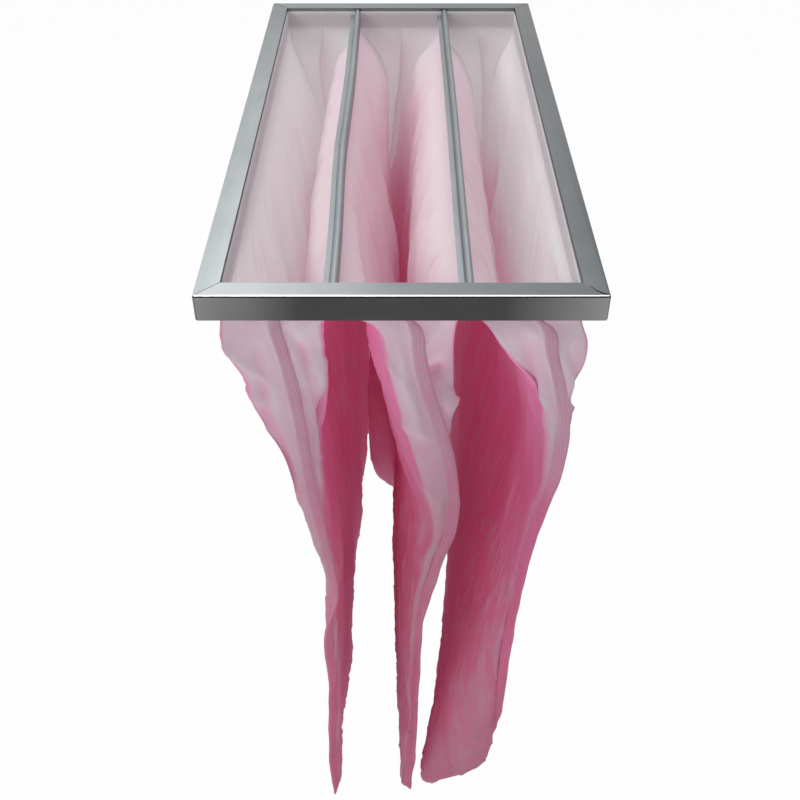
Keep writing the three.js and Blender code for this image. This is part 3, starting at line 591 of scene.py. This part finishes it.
def field(seed, run, drop, run_mm, drop_mm):
    """Smooth noise over the sheet, from about -1 to 1."""
    flat = np.column_stack([run.ravel() / run_mm, drop.ravel() / drop_mm])
    values = [noise.noise(Vector((u, v, seed))) for u, v in flat]
    return np.array(values).reshape(run.shape) * 1.8


def ridges(seed, run, drop, run_mm, drop_mm):
    """Sharp little ridges between flat stretches, from 0 to 1."""
    return np.clip(1 - np.abs(field(seed, run, drop, run_mm, drop_mm)) * 3.2, 0, 1) ** 1.5


def row_normals(rows):
    down = np.gradient(rows, axis=0)
    around = np.gradient(rows, axis=1)
    around[:, 0] = around[:, -1] = (rows[:, 1] - rows[:, -2]) / 2
    normals = np.cross(around, down)
    return normals / np.maximum(np.linalg.norm(normals, axis=2, keepdims=True), 1e-9)


# Creases that the photograph shows on the near faces: the wall, then the start and the end as
# millimetres from the seam's free edge and down from the header, and the height and half width.
CREASES = {
    "left": [("right", (27, 15), (30, 70), -2.6, 3.5), ("right", (30, 70), (37, 150), -2.2, 4),
             ("right", (37, 40), (44, 120), 2.4, 7), ("left", (22, 30), (34, 110), -1.6, 5),
             ("left", (30, 90), (18, 180), -1.8, 5), ("right", (20, 150), (30, 240), 1.6, 5)],
    "middle": [("right", (14, 62), (34, 54), -2.4, 6), ("right", (20, 92), (36, 84), 2.6, 9),
               ("left", (16, 20), (22, 120), 1.8, 5), ("right", (24, 120), (14, 230), -1.8, 5)],
    "right": [("right", (18, 10), (24, 80), 1.6, 7), ("right", (26, 30), (30, 80), -1.4, 5),
              ("left", (20, 20), (30, 90), -1.8, 5)],
}


def crease_lift(place, left_wall, from_near, drop):
    """How far the photograph's creases lift the cloth at each point."""
    lift = np.zeros_like(from_near)
    for wall, start, end, height, half_width in CREASES[place]:
        start, end = np.array(start), np.array(end)
        heading = end - start
        across, down = from_near - start[0], drop - start[1]
        share = np.clip((across * heading[0] + down * heading[1]) / (heading @ heading), 0, 1)
        away = np.hypot(across - share * heading[0], down - share * heading[1])
        ends = 2 * np.sqrt(share * (1 - share))
        lift += height * ends * np.exp(-(away / half_width) ** 2) * (left_wall == (wall == "left"))
    return lift


LINE_HEIGHT = 2.0
SLANT_LINE_HEIGHT = 2.6
CREASE_GAIN = 2.6
FAR_CALM_MM = (20, 110)


def wrinkle(place, rows):
    """Moves the rows into creases and gives each point's place on the cloth."""
    seed = {"left": 11.3, "middle": 27.8, "right": 45.1}[place]
    columns = rows.shape[1]
    middle = columns // 2
    step = np.linalg.norm(np.diff(rows, axis=1), axis=2)
    run = np.zeros(rows.shape[:2])
    run[:, 1:] = np.cumsum(step, axis=1)
    total = run[:, middle:middle + 1]
    whole = run[:, -1:]
    left_wall = np.arange(columns) <= middle
    from_near = np.where(left_wall, run, whole - run)
    from_far = np.abs(total - run)
    cap_columns = FLAP_STEPS + NEAR_STEPS
    left_cap = run[:, cap_columns, None]
    right_cap = whole - run[:, -1 - cap_columns, None]
    past_cap = from_near - np.where(left_wall, left_cap, right_cap)
    drop = -rows[:, :, 2]
    normals = row_normals(rows)
    hang = smoothstep(drop, 4, 40)
    low = smoothstep(drop, 120, 300)

    slant = field(seed, from_near + 0.6 * drop, drop - 0.5 * from_near, 34, 90) * 1.8
    wave = field(seed + 3, from_near, drop, 60, 80) * 1.6
    calm = smoothstep(from_far, *FAR_CALM_MM)
    sheet = (slant * (1 - 0.6 * low) + wave) * hang * calm
    upright, aslant = np.zeros_like(run), np.zeros_like(run)
    for wall, start in ((left_wall, 0.0), (~left_wall, 60.0)):
        near, down = from_near[:, wall], drop[:, wall]
        sway = near + 9 * field(seed + start + 5, near, down, 120, 140)
        upright[:, wall] = ridges(seed + start + 7, sway, down, 10, 95)
        aslant[:, wall] = ridges(seed + start + 9, sway + 0.7 * down, down, 30, 80)
    at_seam = np.clip(1 - np.minimum(from_near, from_far) / 14, 0, 1)
    upright = upright * low * hang * (1 - at_seam) * calm
    off_seam = smoothstep(np.minimum(from_near, from_far), 10, 22)
    aslant = aslant * (1 - 0.75 * low) * smoothstep(drop, 4, 24) * off_seam * calm
    creases = crease_lift(place, left_wall[None, :], from_near, drop) * hang * off_seam
    lift = LINE_HEIGHT * upright + SLANT_LINE_HEIGHT * aslant + CREASE_GAIN * creases
    sign = np.where(left_wall, 1.0, -1.0)[None, :, None]
    shared = (sheet * (1 - 0.6 * at_seam))[:, :, None] * sign * normals
    moved = rows + shared * smoothstep(drop, 0, 60)[:, :, None] + normals * lift[:, :, None]
    pucker = (field(seed + 20, 0 * drop + 3, drop, 40, 38)
              + 0.35 * field(seed + 21, 0 * drop, drop, 40, 15))
    moved[:, :, 0] += pucker * at_seam * hang * 0.7
    marks = {"from_near": from_near, "from_far": from_far, "past_cap": past_cap, "drop": drop,
             "crest": upright + 0.5 * aslant + 0.25 * creases}
    return moved, marks


# %% [markdown]
# The felt's own colour is pink on the outer face and pale on the inner face, with painted light on
# top. The near faces, turned to the front light, are painted pale. The walls between the pockets
# are deep pink, partly the felt's own pink and partly a painted glow of the light that comes
# through them, lighter towards the bottom. The mouths are painted white near the rim and pinker
# deeper down. Wrinkle crests get a painted highlight and creases a painted shade. The shade of
# each point is kept as one number on the mesh, so it stays with the cloth.

# %% Shades of the felt, with painted light
# Between these drops the painted light fades: the cloth beside a pocket's near face turns from
# painted pale to pink, and so does the near face itself
PAINTED_PALE_DROPS = {"left": (250, 480), "middle": (320, 430), "right": (80, 150)}
PAINTED_PALE_CAP_DROPS = {"left": (330, 620), "middle": (340, 500), "right": (130, 240)}


def outside_tone_with_painted_light(place, rows, marks):
    drop = marks["drop"]
    # Painted light: faces turned to the front light and the near face are painted pale.
    facing = smoothstep(-row_normals(rows)[:, :, 1], 0.3, 0.85)
    cap = (1 - smoothstep(marks["past_cap"], -4, 4)) * (1 - smoothstep(drop, *PAINTED_PALE_CAP_DROPS[place]))
    # The walls between the pockets are deep pink, partly the felt's own and partly a painted glow of
    # the light that comes through them; they are lighter towards the bottom.
    side_tone = 0.97 - 0.3 * smoothstep(drop, 120, 560)
    end_tone = 0.3 + 0.1 * smoothstep(drop, 0, 200) + 0.2 * smoothstep(drop, 250, 500)
    mix = np.maximum(cap, facing * (1 - smoothstep(drop, *PAINTED_PALE_DROPS[place])))
    tone = side_tone + (end_tone - side_tone) * mix
    # Painted highlight on wrinkle crests and painted shade in creases; a crest goes no paler than
    # this limit.
    palest_crest_highlight = np.minimum(tone - 0.15, 0.5)
    in_channel = 1 - smoothstep(drop, -10, 2)
    return np.maximum(tone - 0.35 * marks["crest"], palest_crest_highlight) * (1 - in_channel)


def inside_tone_with_painted_light(rows, marks):
    drop = marks["drop"]
    # Painted light and shade: white near the rim, pinker deeper in the mouth, and creases painted
    # pinker.
    tone = 0.02 + 0.6 * smoothstep(drop, 55, 200) + 0.3 * smoothstep(drop, 190, 400)
    # Painted light: the slit at the far seam is painted paler, to hide the shade in it.
    far_seam_painted_light = 1 - smoothstep(marks["from_far"], 12, 24)
    return (tone + 0.3 * marks["crest"]) * (1 - 0.8 * far_seam_painted_light)


# %% [markdown]
# A pocket's mesh starts as a flat grid, one square for each few millimetres of cloth, and is
# wrapped into the bag's shape. The two edges that meet at the near seam are merged, the hem is
# closed, and a second skin inside gives the felt its thickness.

# %% Pocket meshes
FELT = 0.8


def make_pocket(place):
    rows = pocket_points[place]
    moved, marks = wrinkle(place, rows)
    outside = outside_tone_with_painted_light(place, rows, marks)
    inside = inside_tone_with_painted_light(rows, marks)
    count_down, count_round = rows.shape[:2]
    cloth = bmesh.new()
    bmesh.ops.create_grid(cloth, x_segments=count_round - 1, y_segments=count_down - 1, size=0.5)
    cloth.verts.ensure_lookup_table()
    layers = {name: cloth.verts.layers.float.new(name)
              for name in ("outside", "inside", "from_near", "from_far", "drop")}
    values = {"outside": outside, "inside": inside, "from_near": marks["from_near"],
              "from_far": marks["from_far"], "drop": marks["drop"]}
    for vert in cloth.verts:
        column = round((vert.co.x + 0.5) * (count_round - 1))
        row = round((0.5 - vert.co.y) * (count_down - 1))
        vert.co = Vector(moved[row, column]) * MM
        for name, layer in layers.items():
            vert[layer] = float(values[name][row, column])
    bmesh.ops.remove_doubles(cloth, verts=cloth.verts, dist=0.02 * MM)
    bmesh.ops.reverse_faces(cloth, faces=cloth.faces)
    for face in cloth.faces:
        face.smooth = True
    mesh = bpy.data.meshes.new(f"pocket_{place}_felt")
    cloth.to_mesh(mesh)
    cloth.free()
    piece = bpy.data.objects.new(f"pocket_{place}_felt", mesh)
    bpy.context.scene.collection.objects.link(piece)
    return piece


pieces = {place: make_pocket(place) for place in POCKETS}
for place, piece in pieces.items():
    print(place, "faces", len(piece.data.polygons))

# %% [markdown]
# Synthetic filter felt is a lofty non-woven of fine fibres. It has almost no gloss, and a share of
# the light goes through it, so its shader is part translucent. A skin seen from its inner side is
# clear, so each face of the felt shows only its own colour.

# %% Felt
FIBRE_MM = 1.1
MOTTLE_MM = 22
PATCH_MM = 70
WELD_CELL_MM = (3.2, 2.7)
WELD_LINE_MM = 0.7
WELD_BAND_MM = (1.4, 9.6)
FREE_EDGE_SHADOW_MM = 0.9
HEM_LINE_MM = (POCKET_DROP - 7.5, POCKET_DROP - 6)
LINE_PITCH_MM = (9, 150)
LINE_DROPS_MM = (150, 330)
PALEST_LINE_HIGHLIGHT = 0.54


def between(tree, value, low, high):
    """1 where the value lies between two limits, else 0."""
    above = add_node(tree, "ShaderNodeMath", {0: value, 1: low}, operation="GREATER_THAN")
    below = add_node(tree, "ShaderNodeMath", {0: value, 1: high}, operation="LESS_THAN")
    return calculate(tree, "MULTIPLY", above.outputs[0], below.outputs[0])


def calculate(tree, operation, first, second):
    return add_node(tree, "ShaderNodeMath", {0: first, 1: second}, operation=operation).outputs[0]


def read_mark(tree, name):
    return add_node(tree, "ShaderNodeAttribute", attribute_name=name).outputs["Fac"]


def weld_pattern(tree):
    """The pressed lattice on the near flap, painted shadow at its free edge and the pressed line
    above the hem: 1 is pressed in or painted shadow.
    """
    from_near, drop = read_mark(tree, "from_near"), read_mark(tree, "drop")
    spot = add_node(tree, "ShaderNodeCombineXYZ", {0: drop, 1: from_near})
    lattice = add_node(tree, "ShaderNodeTexBrick", {
        "Vector": spot.outputs[0], "Scale": 1.0, "Mortar Size": WELD_LINE_MM / 2,
        "Mortar Smooth": 0.4, "Brick Width": WELD_CELL_MM[0], "Row Height": WELD_CELL_MM[1],
    })
    cells = calculate(tree, "SUBTRACT", 1.0, lattice.outputs["Fac"])
    band = between(tree, from_near, *WELD_BAND_MM)
    on_flap = calculate(tree, "MULTIPLY", cells, band)
    # Painted shadow: a thin strip along the flap's free edge is darkened, and sunk by the same bump.
    free_edge_shadow = between(tree, from_near, -1.0, FREE_EDGE_SHADOW_MM)
    on_flap = calculate(tree, "MAXIMUM", on_flap, free_edge_shadow)
    return calculate(tree, "MAXIMUM", on_flap, between(tree, drop, *HEM_LINE_MM))


def fine_lines(tree):
    """Thin raised lines that run down slack cloth: 1 on a line, fading in with the drop."""
    drop = read_mark(tree, "drop")
    across = calculate(tree, "DIVIDE", read_mark(tree, "from_near"), LINE_PITCH_MM[0])
    down = calculate(tree, "DIVIDE", drop, LINE_PITCH_MM[1])
    spot = add_node(tree, "ShaderNodeCombineXYZ", {0: across, 1: down})
    soft = add_node(tree, "ShaderNodeTexNoise", {
        "Vector": spot.outputs[0], "Scale": 1.0, "Detail": 1.5, "Distortion": 0.25,
    })
    away = calculate(tree, "ABSOLUTE", calculate(tree, "SUBTRACT", soft.outputs[0], 0.5), 0)
    line = add_node(tree, "ShaderNodeMapRange", {
        "Value": away, "From Min": 0.0, "From Max": 0.045, "To Min": 1.0, "To Max": 0.0,
    })
    low = add_node(tree, "ShaderNodeMapRange", {
        "Value": drop, "From Min": LINE_DROPS_MM[0], "From Max": LINE_DROPS_MM[1],
    })
    place = add_node(tree, "ShaderNodeTexCoord").outputs["Object"]
    patches = add_node(tree, "ShaderNodeTexNoise", {
        "Vector": place, "Scale": 1 / (PATCH_MM * MM),
    })
    patchy = add_node(tree, "ShaderNodeMapRange", {
        "Value": patches.outputs[0], "From Min": 0.4, "From Max": 0.55,
    })
    shown = calculate(tree, "MULTIPLY", low.outputs[0], patchy.outputs[0])
    return calculate(tree, "MULTIPLY", line.outputs[0], shown)


def felt(name, shade, stops, sheer_share, welded):
    material, tree, shader = new_material(name)
    place = add_node(tree, "ShaderNodeTexCoord").outputs["Object"]
    mottle = add_node(tree, "ShaderNodeTexNoise", {
        "Vector": place, "Scale": 1 / (MOTTLE_MM * MM), "Detail": 3.0,
    })
    shift = add_node(tree, "ShaderNodeMapRange", {
        "Value": mottle.outputs[0], "From Min": 0.3, "From Max": 0.7, "To Min": -0.06, "To Max": 0.06,
    })
    # The mesh's tone holds the felt's own colour with painted light and shade; the mottle adds random
    # tone.
    tone = calculate(tree, "ADD", read_mark(tree, shade), shift.outputs[0])
    fibres = add_node(tree, "ShaderNodeTexNoise", {
        "Vector": place, "Scale": 1 / (FIBRE_MM * MM), "Detail": 2.0,
    })
    bump = add_node(tree, "ShaderNodeBump", {
        "Height": fibres.outputs[0], "Strength": 0.15, "Distance": 0.4 * MM,
    })
    # The outer face also gets a painted highlight on its fine lines and a painted shadow at the
    # flap's free edge.
    if welded:
        lines = fine_lines(tree)
        # Painted highlight: paler along the raised lines, down to a limit.
        line_highlight_tone = calculate(tree, "SUBTRACT", tone, calculate(tree, "MULTIPLY", lines, 0.5))
        tone = calculate(tree, "MAXIMUM", line_highlight_tone, calculate(tree, "MINIMUM", tone, PALEST_LINE_HIGHLIGHT))
        bump = add_node(tree, "ShaderNodeBump", {
            "Height": lines, "Strength": 0.6, "Distance": 1.0 * MM, "Normal": bump.outputs[0],
        })
        # pressed also holds the painted shadow at the flap's free edge.
        pressed = weld_pattern(tree)
        tone = calculate(tree, "ADD", tone, calculate(tree, "MULTIPLY", pressed, 0.3))
        raised = calculate(tree, "SUBTRACT", 1.0, pressed)
        bump = add_node(tree, "ShaderNodeBump", {
            "Height": raised, "Strength": 0.5, "Distance": 0.3 * MM, "Normal": bump.outputs[0],
        })
    ramp = add_node(tree, "ShaderNodeValToRGB", {0: tone})
    set_ramp(ramp, stops)
    tree.links.new(ramp.outputs[0], shader.inputs["Base Color"])
    tree.links.new(bump.outputs[0], shader.inputs["Normal"])
    shader.inputs["Roughness"].default_value = 0.85
    shader.inputs["Specular IOR Level"].default_value = 0.25
    through = add_node(tree, "ShaderNodeBsdfTranslucent", {"Color": ramp.outputs[0]})
    sheer = add_node(tree, "ShaderNodeMixShader", {
        0: sheer_share, 1: shader.outputs[0], 2: through.outputs[0],
    })
    inner_side = add_node(tree, "ShaderNodeNewGeometry").outputs["Backfacing"]
    clear = add_node(tree, "ShaderNodeBsdfTransparent")
    surface = add_node(tree, "ShaderNodeMixShader", {
        0: inner_side, 1: sheer.outputs[0], 2: clear.outputs[0],
    })
    tree.links.new(surface.outputs[0], tree.nodes["Material Output"].inputs["Surface"])
    return material


OUTER_SHEER, INNER_SHEER = 0.45, 0.3
FELT_STOPS = [(0.0, "#f1eff1"), (0.3, "#edd7e4"), (0.55, "#f1bed6"), (0.8, "#f7a6cc"),
              (1.0, "#f69cc8")]
outside_felt = felt("synthetic felt with painted light, outer face", "outside", FELT_STOPS, OUTER_SHEER, True)
INNER_STOPS = [(0.0, "#f5f4f5"), (0.3, "#f3eff2"), (0.55, "#f2d9e3"), (0.8, "#f5bcd3"),
               (1.0, "#f4b0cd")]
inside_felt = felt("synthetic felt with painted light, inner face", "inside", INNER_STOPS, INNER_SHEER, False)

for place, piece in pieces.items():
    piece.data.materials.append(outside_felt)
    piece.data.materials.append(inside_felt)
    wall = piece.modifiers.new("felt thickness", "SOLIDIFY")
    wall.thickness = FELT * MM
    wall.offset = -1
    wall.material_offset = 1
    wall.use_even_offset = False
    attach(piece, "root")
    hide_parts(f"pocket_{place}")

# %% [markdown]
# A plain floor and soft light: a window high on the left, a ceiling light behind, a small front
# light and a pale room all round. To the camera the floor and the room are white, as in a studio.

# %% Stage and light
FLOOR_Z = cad_box[0].z - 0.35
FLOOR_HALF_SIDE = 6
FLOOR_WHITE_SHARE = 0.97
ROOM_STRENGTH = 0.33


def seen_as_backdrop(tree):
    """1 for a ray that sees the floor or the room: from the camera, a gloss or through a body."""
    rays = add_node(tree, "ShaderNodeLightPath").outputs
    seen = calculate(tree, "MAXIMUM", rays["Is Camera Ray"], rays["Is Glossy Ray"])
    return calculate(tree, "MAXIMUM", seen, rays["Is Transmission Ray"])


floor_material, floor_tree, floor_shader = new_material("matt white paint, floor")
floor_shader.inputs["Base Color"].default_value = linear("#f2f2f2")
floor_shader.inputs["Roughness"].default_value = 0.9
mostly = calculate(floor_tree, "MULTIPLY", seen_as_backdrop(floor_tree), FLOOR_WHITE_SHARE)
glow = add_node(floor_tree, "ShaderNodeEmission", {"Color": (1, 1, 1, 1), "Strength": 1.0})
floor_mix = add_node(floor_tree, "ShaderNodeMixShader", {
    0: mostly, 1: floor_shader.outputs[0], 2: glow.outputs[0],
})
floor_tree.links.new(floor_mix.outputs[0], floor_tree.nodes["Material Output"].inputs[0])

floor_shape = bmesh.new()
bmesh.ops.create_grid(floor_shape, x_segments=1, y_segments=1, size=FLOOR_HALF_SIDE)
bmesh.ops.translate(floor_shape, verts=floor_shape.verts, vec=(0, 0, FLOOR_Z))
floor_mesh = bpy.data.meshes.new("floor")
floor_shape.to_mesh(floor_mesh)
floor_shape.free()
floor_mesh.materials.append(floor_material)
floor = bpy.data.objects.new("floor", floor_mesh)
bpy.context.scene.collection.objects.link(floor)

world = bpy.data.worlds.new("pale room")
bpy.context.scene.world = world
world.use_nodes = True
world_tree = world.node_tree
room = world_tree.nodes["Background"]
room.inputs["Color"].default_value = (1, 1, 1, 1)
room.inputs["Strength"].default_value = ROOM_STRENGTH
white = add_node(world_tree, "ShaderNodeBackground", {"Color": (1, 1, 1, 1), "Strength": 1.0})
world_mix = add_node(world_tree, "ShaderNodeMixShader", {
    0: seen_as_backdrop(world_tree), 1: room.outputs[0], 2: white.outputs[0],
})
world_tree.links.new(world_mix.outputs[0], world_tree.nodes["World Output"].inputs[0])


def window(name, place, target, size, power):
    data = bpy.data.lights.new(name, "AREA")
    data.shape = "SQUARE"
    data.size = size
    data.energy = power
    lamp = bpy.data.objects.new(name, data)
    bpy.context.scene.collection.objects.link(lamp)
    lamp.location = place
    lamp.rotation_euler = (Vector(target) - Vector(place)).to_track_quat("-Z", "Y").to_euler()
    return lamp


window("window light", (-1.3, 0.1, 1.7), (0, 0, -0.05), 1.0, 18)
window("ceiling light", (0.2, 0.9, 1.9), (0, 0, 0), 1.4, 20)
window("front light", (-0.9, -1.6, 0.7), (0, -0.1, -0.2), 0.3, 4.2)

# %% View and finish
scene = bpy.context.scene
scene.view_settings.view_transform = "Standard"
scene.cycles.diffuse_bounces = 10
